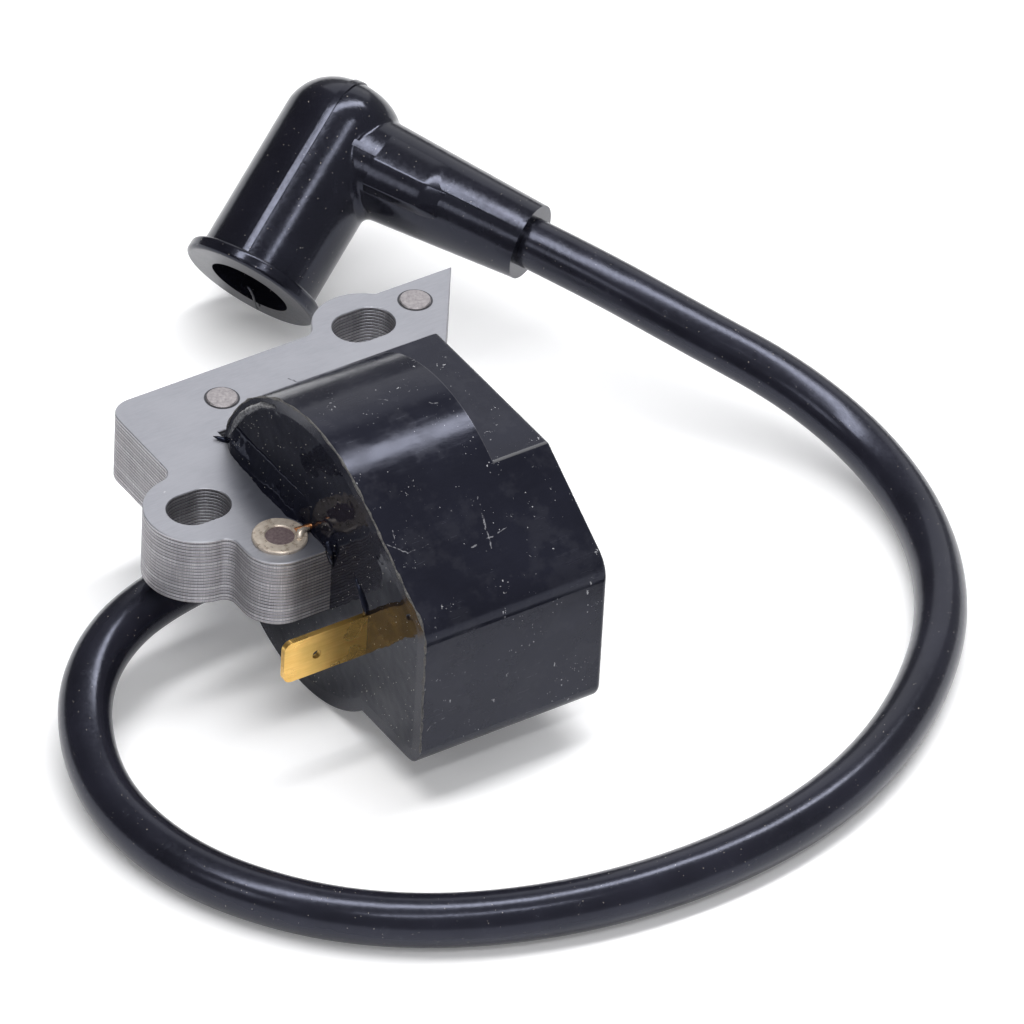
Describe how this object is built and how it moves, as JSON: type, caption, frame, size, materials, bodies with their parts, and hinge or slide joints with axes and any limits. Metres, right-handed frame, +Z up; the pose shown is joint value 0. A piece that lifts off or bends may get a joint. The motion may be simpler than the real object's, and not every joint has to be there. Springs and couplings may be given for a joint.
{
  "type": "ignition coil",
  "caption": "Small-engine ignition coil: U-shaped laminated core with two slotted ears, potted coil case, blade terminal, and a thick lead with a right-angled plug boot.",
  "frame": {"origin": "centre of the bottom of the box around the core and the coil case, on the surface that the case lies on; the lead and boot are not counted", "axes": "+X along the core's legs towards the pole faces, +Y from the coil leg to the free leg, +Z up through the lamination stack"},
  "size_m": [0.1308, 0.1462, 0.0424],
  "materials": {
    "core_steel": "rolled electrical steel, satin, with dark sheared edges",
    "rivet_steel": "flattened rivet heads",
    "earth_pin": "dull darkened pin",
    "tinned_ring": "tinned, dull",
    "copper": "enamelled copper wire",
    "case_plastic": "dark blue-grey moulded plastic, semi-gloss",
    "resin": "poured black resin, glossy",
    "bobbin_plastic": "moulded plastic",
    "board": "glass-fibre circuit board",
    "component_black": "moulded component body",
    "component_tan": "lacquered component body",
    "brass": "stamped brass, satin",
    "spring_steel": "spring wire",
    "lead_rubber": "black high-tension lead, glossy",
    "boot_rubber": "black moulded rubber, slightly dusty"
  },
  "bodies": {
    "root": {"lamination_01": "core_steel", "lamination_02": "core_steel", "lamination_03": "core_steel", "lamination_04": "core_steel", "lamination_05": "core_steel", "lamination_06": "core_steel", "lamination_07": "core_steel", "lamination_08": "core_steel", "lamination_09": "core_steel", "lamination_10": "core_steel", "lamination_11": "core_steel", "lamination_12": "core_steel", "lamination_13": "core_steel", "lamination_14": "core_steel", "lamination_15": "core_steel", "lamination_16": "core_steel", "lamination_17": "core_steel", "lamination_18": "core_steel", "lamination_19": "core_steel", "lamination_20": "core_steel", "core_rivet_1": "rivet_steel", "core_rivet_2": "rivet_steel", "ground_rivet": "earth_pin", "ground_washer": "tinned_ring", "ground_wire": "copper", "housing": "case_plastic", "potting_resin": "resin", "primary_bobbin": "bobbin_plastic", "primary_winding": "copper", "secondary_bobbin": "bobbin_plastic", "secondary_winding_1": "copper", "secondary_winding_2": "copper", "secondary_winding_3": "copper", "secondary_winding_4": "copper", "secondary_winding_5": "copper", "circuit_board": "board", "power_transistor": "component_black", "trigger_thyristor": "component_black", "flyback_diode": "component_black", "resistor_1": "component_tan", "resistor_2": "component_tan", "filter_capacitor": "component_tan", "ht_contact": "brass", "kill_terminal": "brass", "ht_lead": "lead_rubber", "plug_boot": "boot_rubber", "plug_contact": "brass", "plug_spring": "spring_steel"}
  },
  "joints": []
}
